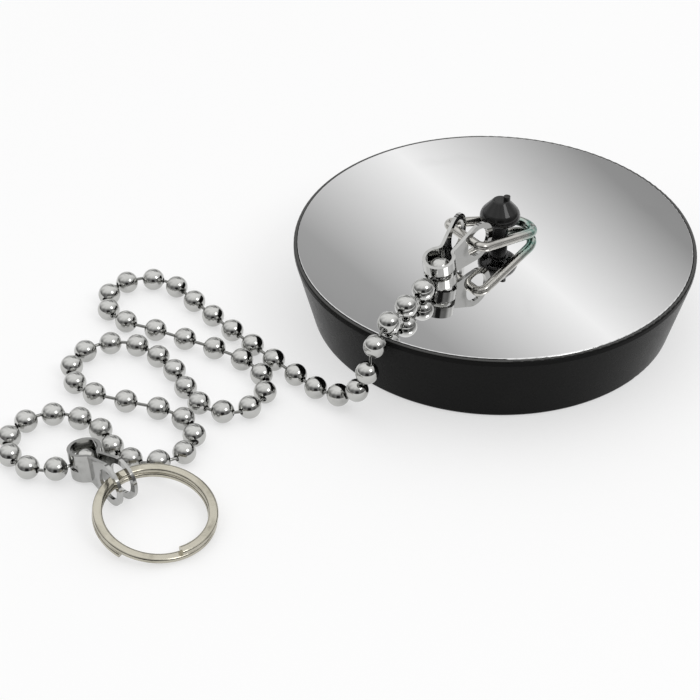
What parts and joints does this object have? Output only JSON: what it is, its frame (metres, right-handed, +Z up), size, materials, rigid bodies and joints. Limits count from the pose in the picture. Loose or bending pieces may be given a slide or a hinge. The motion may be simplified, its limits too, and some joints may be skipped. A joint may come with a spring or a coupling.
{
  "type": "drain stopper",
  "caption": "Tapered rubber basin plug with a polished steel top disc, a wire link on its knob, a ball chain with two strap couplings, and a split ring at the free end.",
  "frame": {"origin": "centre of the plug's base, on the plug's axis, where it rests on a floor", "axes": "+Z up along the plug's axis, -Y towards the camera, the chain goes off to -X and -Y"},
  "size_m": [0.0906, 0.0794, 0.0177],
  "materials": {
    "rubber": "satin black",
    "polished_steel": "polished",
    "steel_wire": "satin",
    "chrome_plate": "bright plated",
    "nickel": "satin plated"
  },
  "bodies": {
    "plug": {"rubber_plug": "rubber", "steel_disc": "polished_steel"},
    "wire_link": {"wire_link": "steel_wire"},
    "plug_coupling": {"plug_coupling": "chrome_plate"},
    "bead_01": {"bead_01": "chrome_plate"},
    "bead_02": {"bead_02": "chrome_plate"},
    "bead_03": {"bead_03": "chrome_plate"},
    "bead_04": {"bead_04": "chrome_plate"},
    "bead_05": {"bead_05": "chrome_plate"},
    "bead_06": {"bead_06": "chrome_plate"},
    "bead_07": {"bead_07": "chrome_plate"},
    "bead_08": {"bead_08": "chrome_plate"},
    "bead_09": {"bead_09": "chrome_plate"},
    "bead_10": {"bead_10": "chrome_plate"},
    "bead_11": {"bead_11": "chrome_plate"},
    "bead_12": {"bead_12": "chrome_plate"},
    "bead_13": {"bead_13": "chrome_plate"},
    "bead_14": {"bead_14": "chrome_plate"},
    "bead_15": {"bead_15": "chrome_plate"},
    "bead_16": {"bead_16": "chrome_plate"},
    "bead_17": {"bead_17": "chrome_plate"},
    "bead_18": {"bead_18": "chrome_plate"},
    "bead_19": {"bead_19": "chrome_plate"},
    "bead_20": {"bead_20": "chrome_plate"},
    "bead_21": {"bead_21": "chrome_plate"},
    "bead_22": {"bead_22": "chrome_plate"},
    "bead_23": {"bead_23": "chrome_plate"},
    "bead_24": {"bead_24": "chrome_plate"},
    "bead_25": {"bead_25": "chrome_plate"},
    "bead_26": {"bead_26": "chrome_plate"},
    "bead_27": {"bead_27": "chrome_plate"},
    "bead_28": {"bead_28": "chrome_plate"},
    "bead_29": {"bead_29": "chrome_plate"},
    "bead_30": {"bead_30": "chrome_plate"},
    "bead_31": {"bead_31": "chrome_plate"},
    "bead_32": {"bead_32": "chrome_plate"},
    "bead_33": {"bead_33": "chrome_plate"},
    "bead_34": {"bead_34": "chrome_plate"},
    "bead_35": {"bead_35": "chrome_plate"},
    "bead_36": {"bead_36": "chrome_plate"},
    "bead_37": {"bead_37": "chrome_plate"},
    "bead_38": {"bead_38": "chrome_plate"},
    "bead_39": {"bead_39": "chrome_plate"},
    "bead_40": {"bead_40": "chrome_plate"},
    "bead_41": {"bead_41": "chrome_plate"},
    "bead_42": {"bead_42": "chrome_plate"},
    "bead_43": {"bead_43": "chrome_plate"},
    "bead_44": {"bead_44": "chrome_plate"},
    "bead_45": {"bead_45": "chrome_plate"},
    "bead_46": {"bead_46": "chrome_plate"},
    "bead_47": {"bead_47": "chrome_plate"},
    "bead_48": {"bead_48": "chrome_plate"},
    "bead_49": {"bead_49": "chrome_plate"},
    "bead_50": {"bead_50": "chrome_plate"},
    "bead_51": {"bead_51": "chrome_plate"},
    "bead_52": {"bead_52": "chrome_plate"},
    "bead_53": {"bead_53": "chrome_plate"},
    "bead_54": {"bead_54": "chrome_plate"},
    "ring_coupling": {"ring_coupling": "chrome_plate"},
    "split_ring": {"split_ring": "nickel"}
  },
  "joints": [
    {"name": "link_turn", "type": "hinge", "parent": "plug", "child": "wire_link", "pos_m": [0.00057, 0, 0], "axis": [0, 0, 1], "continuous": true},
    {"name": "coupling_lift", "type": "hinge", "parent": "wire_link", "child": "plug_coupling", "pos_m": [-0.00412, -0.00506, 0.01452], "axis": [-0.6018, 0.7986, 0], "range_deg": [0, 60]},
    {"name": "end_ball_turn", "type": "hinge", "parent": "plug_coupling", "child": "bead_01", "pos_m": [-0.00778, -0.01029, 0.01328], "axis": [-0.1094, -0.1563, 0.9816], "range_deg": [-15, 5]},
    {"name": "link_02", "type": "hinge", "parent": "bead_01", "child": "bead_02", "pos_m": [-0.01046, -0.01456, 0.01226], "axis": [-0.8473, 0.531, 0], "range_deg": [0, 15]},
    {"name": "link_03", "type": "hinge", "parent": "bead_02", "child": "bead_03", "pos_m": [-0.01271, -0.01816, 0.01241], "axis": [-0.8473, 0.531, 0], "range_deg": [0, 15]},
    {"name": "link_04", "type": "hinge", "parent": "bead_03", "child": "bead_04", "pos_m": [-0.01527, -0.02223, 0.01233], "axis": [-0.8448, 0.5294, 0.0778], "range_deg": [0, 29]},
    {"name": "link_05", "type": "hinge", "parent": "bead_04", "child": "bead_05", "pos_m": [-0.01684, -0.02436, 0.00967], "axis": [-0.8385, 0.5424, 0.0525], "range_deg": [0, 35]},
    {"name": "link_06", "type": "hinge", "parent": "bead_05", "child": "bead_06", "pos_m": [-0.01772, -0.02491, 0.00615], "axis": [-0.9386, -0.1139, 0.3257], "range_deg": [0, 30]},
    {"name": "link_07", "type": "hinge", "parent": "bead_06", "child": "bead_07", "pos_m": [-0.01922, -0.02372, 0.003], "axis": [-0.6037, -0.7946, 0.0647], "range_deg": [0, 32]},
    {"name": "link_08", "type": "hinge", "parent": "bead_07", "child": "bead_08", "pos_m": [-0.02196, -0.02174, 0.00161], "axis": [-0.6091, -0.7895, 0.0751], "range_deg": [0, 26]},
    {"name": "link_09", "type": "hinge", "parent": "bead_08", "child": "bead_09", "pos_m": [-0.02486, -0.01938, 0.00141], "axis": [-0.499, -0.4819, 0.7203], "range_deg": [0, 12]},
    {"name": "link_10", "type": "hinge", "parent": "bead_09", "child": "bead_10", "pos_m": [-0.02706, -0.01695, 0.0015], "axis": [0.7314, 0.682, 0], "range_deg": [0, 15]},
    {"name": "link_11", "type": "hinge", "parent": "bead_10", "child": "bead_11", "pos_m": [-0.03001, -0.01378, 0.0015], "axis": [0.7431, 0.6691, 0], "range_deg": [0, 15]},
    {"name": "link_12", "type": "hinge", "parent": "bead_11", "child": "bead_12", "pos_m": [-0.0329, -0.01055, 0.0015], "axis": [0.7547, 0.6561, 0], "range_deg": [0, 15]},
    {"name": "link_13", "type": "hinge", "parent": "bead_12", "child": "bead_13", "pos_m": [-0.03572, -0.00727, 0.0015], "axis": [0.766, 0.6428, 0], "range_deg": [0, 15]},
    {"name": "link_14", "type": "hinge", "parent": "bead_13", "child": "bead_14", "pos_m": [-0.0385, -0.00395, 0.0015], "axis": [0.7771, 0.6293, 0], "range_deg": [0, 15]},
    {"name": "link_15", "type": "hinge", "parent": "bead_14", "child": "bead_15", "pos_m": [-0.04125, -0.00061, 0.0015], "axis": [0.788, 0.6157, 0], "range_deg": [0, 15]},
    {"name": "link_16", "type": "hinge", "parent": "bead_15", "child": "bead_16", "pos_m": [-0.04429, 0.00313, 0.0015], "axis": [0, 0, -1], "range_deg": [0, 24]},
    {"name": "link_17", "type": "hinge", "parent": "bead_16", "child": "bead_17", "pos_m": [-0.04803, 0.00425, 0.0015], "axis": [0, 0, -1], "range_deg": [0, 39]},
    {"name": "link_18", "type": "hinge", "parent": "bead_17", "child": "bead_18", "pos_m": [-0.05146, 0.00256, 0.0015], "axis": [0, 0, -1], "range_deg": [0, 41]},
    {"name": "link_19", "type": "hinge", "parent": "bead_18", "child": "bead_19", "pos_m": [-0.05286, -0.00093, 0.0015], "axis": [0, 0, -1], "range_deg": [0, 41]},
    {"name": "link_20", "type": "hinge", "parent": "bead_19", "child": "bead_20", "pos_m": [-0.05153, -0.00439, 0.0015], "axis": [0, 0, -1], "range_deg": [0, 40]},
    {"name": "link_21", "type": "hinge", "parent": "bead_20", "child": "bead_21", "pos_m": [-0.04878, -0.00645, 0.0015], "axis": [0, 0, -1], "range_deg": [0, 21]},
    {"name": "link_22", "type": "hinge", "parent": "bead_21", "child": "bead_22", "pos_m": [-0.04463, -0.00824, 0.0015], "axis": [-0.4384, -0.8988, 0], "range_deg": [0, 15]},
    {"name": "link_23", "type": "hinge", "parent": "bead_22", "child": "bead_23", "pos_m": [-0.04057, -0.01025, 0.0015], "axis": [-0.454, -0.891, 0], "range_deg": [0, 15]},
    {"name": "link_24", "type": "hinge", "parent": "bead_23", "child": "bead_24", "pos_m": [-0.03657, -0.01234, 0.0015], "axis": [-0.5446, -0.8387, 0], "range_deg": [0, 15]},
    {"name": "link_25", "type": "hinge", "parent": "bead_24", "child": "bead_25", "pos_m": [-0.03292, -0.01473, 0.0015], "axis": [-0.766, -0.6428, 0], "range_deg": [0, 15]},
    {"name": "link_26", "type": "hinge", "parent": "bead_25", "child": "bead_26", "pos_m": [-0.03022, -0.01869, 0.0015], "axis": [0, 0, 1], "range_deg": [0, 30]},
    {"name": "link_27", "type": "hinge", "parent": "bead_26", "child": "bead_27", "pos_m": [-0.03052, -0.02258, 0.0015], "axis": [0, 0, 1], "range_deg": [0, 40]},
    {"name": "link_28", "type": "hinge", "parent": "bead_27", "child": "bead_28", "pos_m": [-0.03324, -0.02522, 0.0015], "axis": [0, 0, 1], "range_deg": [0, 44]},
    {"name": "link_29", "type": "hinge", "parent": "bead_28", "child": "bead_29", "pos_m": [-0.03695, -0.02497, 0.0015], "axis": [0, 0, 1], "range_deg": [0, 44]},
    {"name": "link_30", "type": "hinge", "parent": "bead_29", "child": "bead_30", "pos_m": [-0.03966, -0.02247, 0.0015], "axis": [0, 0, 1], "range_deg": [0, 29]},
    {"name": "link_31", "type": "hinge", "parent": "bead_30", "child": "bead_31", "pos_m": [-0.04128, -0.01906, 0.0015], "axis": [0.9063, 0.4226, 0], "range_deg": [0, 15]},
    {"name": "link_32", "type": "hinge", "parent": "bead_31", "child": "bead_32", "pos_m": [-0.04302, -0.0155, 0.0015], "axis": [0.788, 0.6157, 0], "range_deg": [0, 15]},
    {"name": "link_33", "type": "hinge", "parent": "bead_32", "child": "bead_33", "pos_m": [-0.04564, -0.0127, 0.0015], "axis": [0.6293, 0.7771, 0], "range_deg": [0, 15]},
    {"name": "link_34", "type": "hinge", "parent": "bead_33", "child": "bead_34", "pos_m": [-0.04886, -0.01066, 0.0015], "axis": [0, 0, -1], "range_deg": [0, 30]},
    {"name": "link_35", "type": "hinge", "parent": "bead_34", "child": "bead_35", "pos_m": [-0.05261, -0.01098, 0.0015], "axis": [0, 0, -1], "range_deg": [0, 36]},
    {"name": "link_36", "type": "hinge", "parent": "bead_35", "child": "bead_36", "pos_m": [-0.05531, -0.01353, 0.0015], "axis": [0, 0, -1], "range_deg": [0, 37]},
    {"name": "link_37", "type": "hinge", "parent": "bead_36", "child": "bead_37", "pos_m": [-0.05597, -0.01716, 0.0015], "axis": [0, 0, -1], "range_deg": [0, 36]},
    {"name": "link_38", "type": "hinge", "parent": "bead_37", "child": "bead_38", "pos_m": [-0.05431, -0.02045, 0.0015], "axis": [0, 0, -1], "range_deg": [0, 36]},
    {"name": "link_39", "type": "hinge", "parent": "bead_38", "child": "bead_39", "pos_m": [-0.05146, -0.02197, 0.0015], "axis": [0, 0, -1], "range_deg": [0, 19]},
    {"name": "link_40", "type": "hinge", "parent": "bead_39", "child": "bead_40", "pos_m": [-0.04723, -0.02344, 0.0015], "axis": [-0.3256, -0.9455, 0], "range_deg": [0, 15]},
    {"name": "link_41", "type": "hinge", "parent": "bead_40", "child": "bead_41", "pos_m": [-0.04258, -0.0251, 0.0015], "axis": [-0.5299, -0.848, 0], "range_deg": [0, 15]},
    {"name": "link_42", "type": "hinge", "parent": "bead_41", "child": "bead_42", "pos_m": [-0.03948, -0.02757, 0.0015], "axis": [0, 0, 1], "range_deg": [0, 32]},
    {"name": "link_43", "type": "hinge", "parent": "bead_42", "child": "bead_43", "pos_m": [-0.03871, -0.03126, 0.0015], "axis": [0, 0, 1], "range_deg": [0, 42]},
    {"name": "link_44", "type": "hinge", "parent": "bead_43", "child": "bead_44", "pos_m": [-0.04081, -0.03433, 0.0015], "axis": [0, 0, 1], "range_deg": [0, 42]},
    {"name": "link_45", "type": "hinge", "parent": "bead_44", "child": "bead_45", "pos_m": [-0.04433, -0.03527, 0.0015], "axis": [0, 0, 1], "range_deg": [0, 37]},
    {"name": "link_46", "type": "hinge", "parent": "bead_45", "child": "bead_46", "pos_m": [-0.04772, -0.03399, 0.0015], "axis": [0, 0, 1], "range_deg": [0, 12]},
    {"name": "link_47", "type": "hinge", "parent": "bead_46", "child": "bead_47", "pos_m": [-0.04978, -0.03099, 0.0015], "axis": [0, 0, 1], "range_deg": [0, 12]},
    {"name": "link_48", "type": "hinge", "parent": "bead_47", "child": "bead_48", "pos_m": [-0.0516, -0.02776, 0.0015], "axis": [0, 0, -1], "range_deg": [0, 23]},
    {"name": "link_49", "type": "hinge", "parent": "bead_48", "child": "bead_49", "pos_m": [-0.05484, -0.02601, 0.0015], "axis": [0, 0, -1], "range_deg": [0, 24]},
    {"name": "link_50", "type": "hinge", "parent": "bead_49", "child": "bead_50", "pos_m": [-0.05849, -0.02579, 0.0015], "axis": [0, 0, -1], "range_deg": [0, 37]},
    {"name": "link_51", "type": "hinge", "parent": "bead_50", "child": "bead_51", "pos_m": [-0.06137, -0.02807, 0.0015], "axis": [0, 0, -1], "range_deg": [0, 37]},
    {"name": "link_52", "type": "hinge", "parent": "bead_51", "child": "bead_52", "pos_m": [-0.06232, -0.03159, 0.0015], "axis": [0, 0, -1], "range_deg": [0, 37]},
    {"name": "link_53", "type": "hinge", "parent": "bead_52", "child": "bead_53", "pos_m": [-0.06092, -0.03496, 0.00151], "axis": [0.0313, 0.0047, -0.9995], "range_deg": [0, 37]},
    {"name": "link_54", "type": "hinge", "parent": "bead_53", "child": "bead_54", "pos_m": [-0.05775, -0.03675, 0.00165], "axis": [0.098, 0.074, -0.9924], "range_deg": [0, 34]},
    {"name": "ring_end_turn", "type": "hinge", "parent": "bead_54", "child": "ring_coupling", "pos_m": [-0.0518, -0.0355, 0.00218], "axis": [-0.0895, 0.1066, 0.9903], "range_deg": [-30, 0]},
    {"name": "ring_swing", "type": "hinge", "parent": "ring_coupling", "child": "split_ring", "pos_m": [-0.04767, -0.04043, 0.00309], "axis": [-0.6691, -0.7431, 0], "range_deg": [0, 100]}
  ]
}
